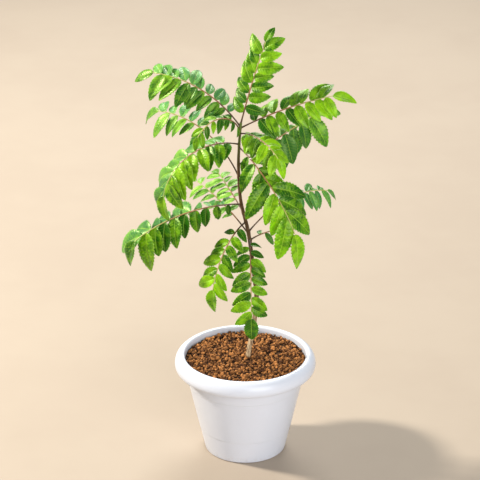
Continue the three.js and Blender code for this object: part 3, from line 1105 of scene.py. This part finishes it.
# Each row gives the name, height, azimuth, rise, droop, length, bare, leaflets, leaf, first and hang.
FRONDS = (
    FrondSpec("frond_top", 630, 8, 76, 5, 155, 0.13, 14, 39, 0.95, 0, ease=1.2, roll=50, end=0.7,
              breadth=0.57, youth=0.20),
    FrondSpec("frond_upper_left", 624, 162, 54, 54, 187, 0.13, 20, 45, 0.6, 12, roll=-36, breadth=0.52,
              youth=0.24, cool=0.10, pale=-1),
    FrondSpec("frond_back_left", 531, 144, 60, 70, 208, 0.5, 10, 46, 0.75, 10, roll=-35, breadth=0.5,
              youth=0.36, cool=0.20, pale=-1),
    FrondSpec("frond_inner_left", 616, 222, 68, 120, 120, 0.08, 13, 25, 0.75, 20, roll=-30, youth=0.25),
    FrondSpec("frond_mid_left", 592, 204, 20, 100, 185, 0.11, 18, 50, 0.7, 12, ease=1.1, roll=-15,
              breadth=0.54, youth=0.28, pale=-1),
    FrondSpec("frond_lower_left", 479, 187, 3, 42, 204, 0.1, 18, 62, 0.3, 36, roll=-28, end=0.85,
              breadth=0.6, youth=0.04, pale=-1),
    FrondSpec("frond_far_back", 462, 118, 28, 10, 105, 0.3, 11, 32, 0.8, 8, roll=-20, youth=0.75,
              cool=0.35),
    FrondSpec("frond_back", 420, 140, 42, 34, 150, 0.3, 12, 30, 0.7, 8, sweep=-10, roll=-25, youth=0.65,
              cool=0.3),
    FrondSpec("frond_back_right", 424, 20, 48, 62, 170, 0.4, 16, 32, 0.8, 24, ease=1.3, roll=30,
              breadth=0.46, youth=0.15, cool=0.45),
    FrondSpec("frond_low_right", 408, 15, 32, 45, 72, 0.25, 5, 26, 0.8, 30, roll=30, youth=0.25, cool=0.2),
    FrondSpec("frond_hanging_left", 444, 231, 0, 75, 144, 0.15, 13, 39, 0.65, 5, ease=0.6, roll=-10,
              end=1.25, breadth=0.52, youth=0.28),
    FrondSpec("frond_hanging_front", 412, 272, 5, 92, 162, 0.12, 16, 37, 0.65, 0, ease=0.7, end=1.15,
              breadth=0.54, youth=0.20),
    FrondSpec("frond_inner_right", 612, 310, 20, 58, 108, 0.12, 14, 37, 0.75, 15, roll=10, breadth=0.52,
              youth=0.65),
    FrondSpec("frond_front_right", 586, 290, 8, 76, 210, 0.12, 14, 66, 0.6, 26, ease=0.8, sweep=40, roll=28,
              last=0.87, end=1.05, youth=0.40),
    FrondSpec("frond_upper_right", 622, 352, 31, 16, 176, 0.15, 16, 43, 0.85, 12, roll=40, end=0.95,
              breadth=0.5, youth=0.34),
    FrondSpec("frond_mid_right", 553, 20, 30, 4, 165, 0.42, 10, 52, 0.95, 44, roll=30, end=0.9,
              breadth=0.54, youth=0.12, cool=0.1),
)


@dataclass(frozen=True)
class LeafletForm:
    """The shape that leaflets share: a thin ovate blade, folded along its midrib, with a scalloped edge."""

    widest: float = 0.82
    fullness: float = 0.66
    root_half_width: float = 0.55
    tip_half_width: float = 0.12
    stalk_half_thickness: float = 0.45
    blade_half_thickness: float = 0.2
    stalk_start: float = 0.015
    stalk_share: float = 0.05
    arch: float = 0.30
    tip_curl: float = 0.05
    fold: float = 0.32
    fold_round: float = 0.003
    fold_middle: float = 0.055
    edge_curl: float = 0.10
    pucker: float = 0.15
    wave: float = 0.05
    waves: float = 1.3
    scallop: float = 0.14
    scallop_fullness: float = 0.7
    scallop_middle: float = 0.6
    scallop_edge: int = 8
    fewest_veins: float = 5.0
    vein_pitch: float = 11.0
    vein_slant: float = 0.17
    vein_curve: float = 1.3
    rib: float = 0.22
    rib_width: float = 0.06
    columns: tuple[float, ...] = (1.0, 0.9, 0.6, 0.3, 0.07, 0.0)
    rows_per_vein: float = 6.0
    row_crowding: float = 0.94

    def ring(self) -> tuple[Array, Array]:
        """Where a ring's points lie: from one edge over the top to the other, and back beneath.

        Returns:
            How far across each point is, from 1 to -1, and whether it is above (1), on the edge (0) or
            beneath (-1).
        """
        half = np.array(self.columns)
        top = np.concatenate([half, -half[-2::-1]])
        beneath = -top[1:-1]
        level = np.concatenate([[0], np.ones(len(top) - 2), [0], -np.ones(len(beneath))])
        return np.concatenate([top, beneath]), level


@dataclass(frozen=True)
class Leaflet:
    """One leaflet where it grows, with what makes it differ from its neighbours."""

    root: Array
    along: Array
    upper: Array
    length: float
    breadth: float
    tilt: float
    twist: float
    bend: float
    fold_factor: float
    phase: float
    youth: float
    # Painted sky reflection on the leaflet, from 0 up.
    cool: float

    def add_to(self, skin: Skin, form: LeafletForm) -> None:
        """Adds the leaflet's closed surface to its frond.

        With s from 0 at the root to 1 at the tip and t from 1 to -1 across, the half width is
        length * breadth / 2 * sin(pi s^widest)^fullness. A point stands across the middle line by
        t times that, scalloped at the edge, and above it by the fold |t|, less the edge's curl t^4, plus
        the puckers between veins and a slow wave of the edge. The veins of one side lie half a step past
        those of the other. The middle line runs along, bends aside by s^2 and arches under by s^2 and
        s^4.

        Args:
            skin: The frond's surfaces.
            form: The shape that all leaflets share.
        """
        veins = form.fewest_veins + self.length / form.vein_pitch
        rows = int(round(form.rows_per_vein * veins))
        t, level = form.ring()
        s = np.linspace(0, 1, rows)[:, None] ** form.row_crowding
        spread = np.abs(t)
        least = lerp(form.root_half_width, form.tip_half_width, s)
        outline = self.breadth / 2 * np.sin(np.pi * s**form.widest) ** form.fullness
        half = np.maximum(least, self.length * outline)
        blade = smoothstep(0.0, form.stalk_share, s - form.stalk_start)
        vein = veins * (s - form.vein_slant * spread**form.vein_curve) + 0.5 * (t > 0) + self.phase
        between = 0.5 - 0.5 * np.cos(TURN * vein)
        tooth = between**form.scallop_fullness - form.scallop_middle
        aside = half * t * (1 + form.scallop * tooth * spread**form.scallop_edge * blade)
        fold = form.fold * self.fold_factor * (np.sqrt(t**2 + form.fold_round) - form.fold_middle)
        puckers = form.pucker * between * (1 - t**2) * np.sqrt(spread)
        waves = form.wave * t**2 * np.sin(TURN * (form.waves * s + self.phase)) * np.sign(t)
        lift = half * blade * (fold - form.edge_curl * t**4 + puckers + waves)
        thickness = lerp(form.stalk_half_thickness, form.blade_half_thickness, blade)
        rib = form.rib * blade * np.exp(-((spread / form.rib_width) ** 2)) * (1 - s) * (level < 0)
        lift = lift + thickness * level * np.sqrt(1 - spread**2) - rib

        side = np.cross(self.upper, self.along)
        centre = (self.root + self.along * (self.length * s) + side * (self.bend * self.length * s**2)
                  - self.upper * (self.length * (form.arch * s**2 + form.tip_curl * s**4)))
        across = turned(np.repeat(side[None], rows, axis=0), self.along, (self.tilt + self.twist * s)[:, 0])
        face = np.cross(self.along, across)
        rings = centre[:, None] + across[:, None] * aside[..., None] + face[:, None] * lift[..., None]
        points, faces = closed_tube(rings)
        size = rings.shape[:2]
        uv = np.stack([with_ends(np.broadcast_to(0.5 + 0.5 * t, size)),
                       with_ends(np.broadcast_to(s, size))], axis=-1)
        beneath = with_ends(np.broadcast_to(0.5 - 0.5 * level, size))
        skin.add(points, faces, uv=uv, vein=with_ends(vein), underside=beneath, youth=self.youth,
                 cool=self.cool)


@dataclass(frozen=True)
class Frond:
    """A compound leaf: a thin tapering rachis with leaflets on alternate sides and one at its end.

    A value whose name ends in change is how far a leaflet's own draw moves it either way.
    """

    order: int
    spec: FrondSpec
    stem: Stem
    base_radius: float = 1.4
    tip_radius: float = 0.7
    swelling: float = 0.25
    swelling_length: float = 15.0
    joint_bulge: float = 0.18
    joint_length: float = 1.3
    groove: float = 0.2
    groove_edge: int = 4
    ring_pitch: float = 1.6
    path_steps: int = 24
    sides: int = 12
    root_offset: float = 0.5
    terminal_root: float = 1.5
    terminal_hang: float = 15.0
    terminal_hang_share: float = 0.4
    tilt: float = 8.0
    twist_change: float = 22.0
    bend_change: float = 0.05
    fold_change: float = 0.5
    spread_base: float = 78.0
    spread_tip: float = 50.0
    spread_change: float = 14.0
    hang_change: float = 0.6
    length_change: float = 0.16
    first_leaflet: float = 0.3
    growth_pace: float = 1.15
    youth_gain: float = 0.45
    youth_change: float = 0.36
    terminal_youth: float = 0.12
    # The extra painted sky reflection on the leaflets of a frond's pale side.
    pale_cool: float = 0.4

    def frames(self, shares: Array) -> tuple[Array, Array, Array]:
        """The rachis's directions at shares of its length.

        Args:
            shares: Shares of the length, in an array of any shape.

        Returns:
            The unit directions along it, across its plane and up from its plane, with x, y and z last.
        """
        spec = self.spec
        climb = np.radians(spec.rise - spec.droop * shares**spec.ease)
        heading = np.radians(spec.azimuth + spec.sweep * shares)
        level = np.cos(climb)
        along = np.stack([level * np.cos(heading), level * np.sin(heading), np.sin(climb)], -1)
        across = np.stack([-np.sin(heading), np.cos(heading), 0 * heading], -1)
        across = turned(across, along, math.radians(spec.roll))
        return along, across, np.cross(along, across)

    def points(self, shares: Array) -> Array:
        """Points of the rachis: the stem's centre, plus the mean direction so far times the length so far.

        Args:
            shares: Shares of its length, in a row.

        Returns:
            One point for each share.
        """
        middles = (np.arange(self.path_steps) + 0.5) / self.path_steps
        along = self.frames(shares[:, None] * middles)[0].mean(axis=1)
        return self.stem.at_height(self.spec.height) + along * (self.spec.length * shares)[:, None]

    def joint(self, number: Number) -> Number:
        """How far side leaflets are along the part that bears them, as a share of it."""
        return (number + self.first_leaflet) / self.spec.leaflets

    def leaflet(self, number: int) -> Leaflet:
        """One leaflet, placed by the same rule as in the solids.

        Args:
            number: Its place from the stem. The number after the last side leaflet is the terminal one.

        Returns:
            The leaflet.
        """
        spec = self.spec
        draw = partial(jitter, self.order, number)
        side = 1 if number % 2 == 0 else -1
        hang = math.radians(spec.hang) * (1 + self.hang_change * draw(Use.HANG))
        if number == spec.leaflets:
            share, spread, tilt, growth = 1.0, 0.0, 0.0, spec.end
            offset, youth = -self.terminal_root, self.terminal_youth
            hang = math.radians(self.terminal_hang) + self.terminal_hang_share * hang
        else:
            way = self.joint(number)
            share, tilt = lerp(spec.bare, spec.last, way), side * self.tilt
            spread = lerp(self.spread_base, self.spread_tip, way) + self.spread_change * draw(Use.SPREAD)
            growth = lerp(spec.first, 1.0, math.sin(min(1.0, way * self.growth_pace) * math.pi / 2))
            offset, youth = self.root_offset, self.youth_gain * (way - 0.5)
        ahead, across, upper = (vectors[0] for vectors in self.frames(np.array([share])))
        spread = math.radians(spread)
        along = ahead * math.cos(spread) + across * (side * math.sin(spread))
        sag = np.cross(along, [0.0, 0.0, -1.0])
        angle = hang * float(np.linalg.norm(sag))
        along, upper = (turned(vector, unit(sag), angle) for vector in (along, upper))
        # The leaflet's last value is its painted sky reflection, more on the frond's pale side.
        return Leaflet(
            root=self.points(np.array([share]))[0] + along * offset, along=along, upper=upper,
            length=spec.leaf * growth * (1 + self.length_change * draw(Use.LENGTH)), breadth=spec.breadth,
            tilt=math.radians(tilt), twist=math.radians(self.twist_change) * draw(Use.TWIST),
            bend=self.bend_change * draw(Use.BEND), fold_factor=1 + self.fold_change * draw(Use.FOLD),
            phase=0.5 + 0.5 * draw(Use.PHASE),
            youth=spec.youth + youth + self.youth_change * draw(Use.YOUTH),
            cool=spec.cool + (self.pale_cool if side == spec.pale else 0.0))

    def add_rachis(self, skin: Skin) -> None:
        """Adds the rachis: rings round its line, thicker by the stem and a little at each leaflet.

        The radius tapers evenly. It is multiplied by one plus a swelling that fades from the stem, and by
        one plus a bell curve of the distance from each leaflet. A groove runs along the top.

        Args:
            skin: The frond's surfaces.
        """
        spec = self.spec
        shares = np.linspace(0, 1, int(spec.length / self.ring_pitch))
        _, across, upper = self.frames(shares)
        distance = shares * spec.length
        joints = lerp(spec.bare, spec.last, self.joint(np.arange(spec.leaflets))) * spec.length
        bulges = 1 + self.joint_bulge * np.exp(-(((distance[:, None] - joints) / self.joint_length) ** 2))
        swelling = 1 + self.swelling * np.maximum(0, 1 - distance / self.swelling_length)
        radius = lerp(self.base_radius, self.tip_radius, shares) * swelling * bulges.prod(axis=1)
        cosine, sine = circle(self.sides)
        groove = 1 - self.groove * np.clip(sine, 0, 1) ** self.groove_edge
        ring = radius[:, None, None] * groove[:, None]
        rings = (self.points(shares)[:, None] + across[:, None] * (ring * cosine[:, None])
                 + upper[:, None] * (ring * sine[:, None]))
        points, faces = closed_tube(rings)
        skin.add(points, faces, slot=1, way=with_ends(np.repeat(shares[:, None], self.sides, axis=1)))

    def build(self, form: LeafletForm, leaf: Material, rachis: Material) -> Piece:
        """Makes the frond.

        Args:
            form: The shape that its leaflets share.
            leaf: The leaflets' material.
            rachis: The rachis's material.

        Returns:
            The finished piece.
        """
        skin = Skin()
        for number in range(self.spec.leaflets + 1):
            self.leaflet(number).add_to(skin, form)
        self.add_rachis(skin)
        return settle(skin.make(self.spec.name + "_leaf", [leaf, rachis]), self.spec.name)


# ------------------------------------------------------------------ soil


@dataclass(frozen=True)
class Soil:
    """Potting soil that fills the planter: a solid bed, and loose crumbs heaped a little round the stem.

    A pair whose name ends in draw is what that random draw takes: its two ends, a mean and a spread, or
    the two powers of a beta draw.
    """

    planter: Planter
    stem: Stem
    level: float = SOIL_LEVEL
    mound: float = 4.0
    mound_radius: float = 60.0
    lump_height: float = 1.1
    lump_size: float = 42.0
    gap: float = 0.3
    sides: int = 128
    seed: int = 21
    bed_rings: int = 46
    bed_depth: float = 2.4
    bed_rough: float = 0.9
    bed_rough_size: float = 5.0
    rough_below: float = 2.0
    bed_tone: float = 0.2
    # Painted shade over the whole bed, which lies under the crumbs.
    bed_shade: float = 0.75
    inner_ring: float = 0.02
    spacing: float = 5.0
    scatter: float = 0.28
    loose: int = 900
    small: float = 1.3
    large: float = 4.1
    size_draw: Pair = (1.6, 2.2)
    stem_clearance: float = 4.2
    size_clearance: float = 0.6
    lift_draw: Pair = (-2.2, 1.0)
    loose_lift: float = 1.6
    sunk: float = 0.3
    stretch_draw: Pair = (0.72, 1.25)
    dent_pace: float = 1.6
    dent: float = 0.13
    tone_draw: Pair = (0.45, 0.42)
    # The painted shade of low crumb points: its strength, and the heights at which it starts and is full.
    crumb_shade: float = 0.95
    lit_height: float = 0.8
    dark_height: float = -1.6
    sharp_angle: float = 38.0

    @property
    def rim(self) -> float:
        """Radius of the soil's top, just inside the planter's mouth."""
        return self.planter.mouth_radius - self.gap

    def surface(self, x: Array, y: Array) -> Array:
        """Height of the bed's surface without its crumbs: the level, a mound and slow lumps.

        The mound is its height times (1 - r / its radius)^2, and 0 past that radius.

        Args:
            x: Places along x.
            y: Places along y.

        Returns:
            One height for each place.
        """
        mound = self.mound * np.maximum(0, 1 - np.hypot(x, y) / self.mound_radius) ** 2
        lumps = smooth_noise(np.stack([x, y, 0 * x], axis=-1) / self.lump_size, self.seed)
        return self.level + mound + self.lump_height * lumps

    def build(self, material: Material) -> list[Piece]:
        """Makes the bed and the crumbs.

        Args:
            material: Their soil.

        Returns:
            The finished pieces.
        """
        return [self._bed(material), self._crumbs(material)]

    def _bed(self, material: Material) -> Piece:
        """The bed: a lathed body whose top is broken up by noise of the size of a crumb.

        The noise is read on a level plane, and the surface then lies under the crumbs by the bed's depth.

        Args:
            material: Its soil.

        Returns:
            The finished piece.
        """
        bottom = self.planter.floor + self.gap
        side = [(self.planter.floor_ring, bottom)]
        for height in (bottom, self.planter.collar_bottom):
            side.append((self.planter.tub_radius(height) - self.planter.wall - self.gap, height))
        shares = np.linspace(1, self.inner_ring, self.bed_rings)
        top = [(self.rim * share, self.level - self.rough_below) for share in shares]
        rings = lathe_rings(np.array(side + top), self.sides)
        flat = rings[len(side):]
        rough = self.bed_rough * smooth_noise(flat / self.bed_rough_size, self.seed + 1)
        flat[..., 2] = self.surface(flat[..., 0], flat[..., 1]) - self.bed_depth + rough
        # The bed gets painted shade all over, as it lies under the crumbs.
        skin = Skin().add(*closed_tube(rings), tone=self.bed_tone, depth=self.bed_shade)
        return settle(skin.make("soil_bed", [material]), "soil")

    def _places(self, draw: np.random.Generator) -> tuple[Array, Array]:
        """Middles and sizes of the crumbs: a loose hexagonal layer, and more strewn over it.

        Args:
            draw: The random draws.

        Returns:
            The middles, and each crumb's radius.
        """
        row = self.spacing * math.sqrt(3) / 2
        count = int(self.rim / row) + 1
        column, line = np.meshgrid(np.arange(-count, count + 1), np.arange(-count, count + 1))
        x = (column + 0.5 * (line % 2)).ravel() * self.spacing
        y = line.ravel() * row
        x = x + draw.normal(0, self.scatter * self.spacing, x.shape)
        y = y + draw.normal(0, self.scatter * self.spacing, y.shape)
        angle, share = draw.uniform(0, TURN, self.loose), np.sqrt(draw.uniform(0, 1, self.loose))
        x = np.concatenate([x, self.rim * share * np.cos(angle)])
        y = np.concatenate([y, self.rim * share * np.sin(angle)])
        strewn = np.arange(len(x)) >= len(x) - self.loose
        size = lerp(self.small, self.large, draw.beta(*self.size_draw, len(x)))
        foot = self.stem.at_height(self.level)
        clear = np.hypot(x - foot[0], y - foot[1]) > self.stem_clearance + self.size_clearance * size
        kept = (np.hypot(x, y) < self.rim - size) & clear
        lift = draw.uniform(*self.lift_draw, len(x)) + np.where(strewn, self.loose_lift, 0.0)
        z = self.surface(x, y) + lift - self.sunk * size
        return np.stack([x, y, z], axis=-1)[kept], size[kept]

    def _crumbs(self, material: Material) -> Piece:
        """The crumbs: small cubes blown into lumps, stretched, turned and dented each in its own way.

        A dent is a sum of three sines of the place on the lump. The depth value is painted shade: it grows
        as the point lies lower against the bed's surface.

        Args:
            material: Their soil.

        Returns:
            The finished piece.
        """
        draw = np.random.default_rng(self.seed)
        middles, sizes = self._places(draw)
        number = len(middles)
        ball, faces = self._lump()
        stretch = draw.uniform(*self.stretch_draw, (number, 1, 3))
        axes = unit(draw.normal(size=(number, 1, 3)))
        angles = np.repeat(draw.uniform(0, TURN, (number, 1)), len(ball), axis=1)
        dents = draw.normal(size=(number, 3, 3)) * self.dent_pace
        phases = draw.uniform(0, TURN, (number, 1, 3))
        dent = 1 + self.dent * np.sin(ball @ dents.transpose(0, 2, 1) + phases).sum(axis=-1, keepdims=True)
        shapes = turned(ball * stretch, axes, angles) * dent * sizes[:, None, None]
        points = (middles[:, None] + shapes).reshape(-1, 3)
        quads = (faces + np.arange(number)[:, None, None] * len(ball)).reshape(-1, 4)
        tone = np.repeat(np.clip(draw.normal(*self.tone_draw, number), 0, 1), len(ball))
        height = points[:, 2] - self.surface(points[:, 0], points[:, 1])
        # Painted shade: points that lie low among the crumbs are drawn darker.
        depth = self.crumb_shade * smoothstep(self.lit_height, self.dark_height, height)
        skin = Skin().add(points, [quads], tone=tone, depth=depth)
        return settle(skin.make("soil_crumbs", [material], self.sharp_angle), "soil")

    @staticmethod
    def _lump() -> tuple[Array, Array]:
        """A cube of two by two quads a side, with its points at one distance from the middle.

        The cube's lattice has three points each way, and a point's number on it is 9x + 3y + z. A quad's
        corners on its side are (a, b), (a+1, b), (a+1, b+1) and (a, b+1), with a and b from 0 to 1.

        Returns:
            The points and the quads, which face outwards.
        """
        steps = np.array([-1.0, 0.0, 1.0])
        lattice = np.stack(np.meshgrid(steps, steps, steps, indexing="ij"), axis=-1).reshape(-1, 3)
        firsts = np.array([(0, 0), (0, 1), (1, 0), (1, 1)])
        corners = firsts[:, None] + np.array([(0, 0), (1, 0), (1, 1), (0, 1)])
        quads = []
        for axis in range(3):
            for level in (0, 2):
                place = np.full((4, 4, 3), level)
                place[..., (axis + 1) % 3] = corners[..., 0]
                place[..., (axis + 2) % 3] = corners[..., 1]
                numbers = place @ [9, 3, 1]
                quads.append(numbers if level else numbers[:, ::-1])
        used, numbers = np.unique(np.concatenate(quads), return_inverse=True)
        return unit(lattice[used]), numbers.reshape(-1, 4)


# ------------------------------------------------------------------ stage


@dataclass(frozen=True)
class SoftBox:
    """A square soft light: its place and side in metres, its power in watts and its colour."""

    name: str
    place: Triple
    side: float
    power: float
    colour: Triple


@dataclass(frozen=True)
class Studio:
    """Plain pale ground, soft studio lights and the camera, with all sizes in metres."""

    ground_half: float = 6.0
    aim_height: float = 0.4
    soft_boxes: tuple[SoftBox, ...] = (
        SoftBox("key", (-3.0, 0.6, 2.5), 0.42, 230.0, (1.0, 0.94, 0.83)),
        SoftBox("fill", (1.2, -3.0, 1.2), 2.2, 106.0, (0.96, 0.96, 0.96)),
        SoftBox("back", (0.3, 2.4, 2.6), 1.8, 96.0, (0.96, 0.98, 0.98)))
    sky: Triple = (0.87, 0.90, 0.90)
    sky_strength: float = 0.38
    lens_mm: float = 187.5
    sensor_mm: float = 36.0
    camera_sees: float = 50.0
    camera_place: Triple = (-0.009467, -4.02615, 2.21716)
    camera_pitch: float = 24.175

    def floor(self, material: Material) -> None:
        """The ground: one flat square."""
        corners = np.array([(-1, -1, 0), (1, -1, 0), (1, 1, 0), (-1, 1, 0)]) * self.ground_half / MM
        Skin().add(corners, [np.array([[0, 1, 2, 3]])]).make("ground", [material])

    def light(self, box: SoftBox) -> None:
        """Hangs a soft box and turns it to the middle of the plant.

        Args:
            box: The soft box.
        """
        data = bpy.data.lights.new(box.name, "AREA")
        data.shape, data.size, data.energy, data.color = "SQUARE", box.side, box.power, box.colour
        lamp = bpy.data.objects.new(box.name, data)
        lamp.location = box.place
        aim = np.array(box.place) - [0.0, 0.0, self.aim_height]
        lamp.rotation_euler = (math.acos(aim[2] / float(np.linalg.norm(aim))), 0,
                               math.atan2(aim[1], aim[0]) + math.pi / 2)
        bpy.context.scene.collection.objects.link(lamp)

    def camera(self) -> None:
        """The camera: a long lens that looks down on the plant from its front."""
        data = bpy.data.cameras.new("camera")
        data.lens, data.sensor_width, data.clip_end = self.lens_mm, self.sensor_mm, self.camera_sees
        camera = bpy.data.objects.new("camera", data)
        camera.location = self.camera_place
        camera.rotation_euler = (math.radians(90 - self.camera_pitch), 0, 0)
        bpy.context.scene.collection.objects.link(camera)
        bpy.context.scene.camera = camera

    def surroundings(self) -> None:
        """A pale even sky, and colours shown as they are."""
        scene = bpy.context.scene
        world = bpy.data.worlds.new("studio")
        world.use_nodes = True
        Graph(world.node_tree).fill(world.node_tree.nodes["Background"], Color=self.sky,
                                    Strength=self.sky_strength)
        scene.world = world
        scene.view_settings.view_transform = "Standard"
        scene.view_settings.look = "None"

    def build(self, effects: SharedEffects) -> None:
        """Sets the whole stage.

        Args:
            effects: The shared effects, for the ground's finish.
        """
        self.floor(FloorFinish().material(effects))
        for box in self.soft_boxes:
            self.light(box)
        self.camera()
        self.surroundings()


# ------------------------------------------------------------------ the plant


def main() -> None:
    """Builds the planter, the soil, the stem and the fronds, then the stage round them."""
    logging.basicConfig(level=logging.INFO, format="%(name)s: %(message)s")
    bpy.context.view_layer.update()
    effects = SharedEffects()
    planter, stem, form = Planter(), Stem(), LeafletForm()
    fronds = [Frond(order, spec, stem) for order, spec in enumerate(FRONDS)]
    planter.build(PlanterFinish().material(effects))
    Soil(planter, stem).build(SoilFinish().material(effects))
    stem.build(fronds, BarkFinish().material(effects))
    leaf, rachis = LeafFinish().material(effects), RachisFinish().material(effects)
    for frond in fronds:
        frond.build(form, leaf, rachis)
    Studio().build(effects)


if __name__ == "__main__":
    main()
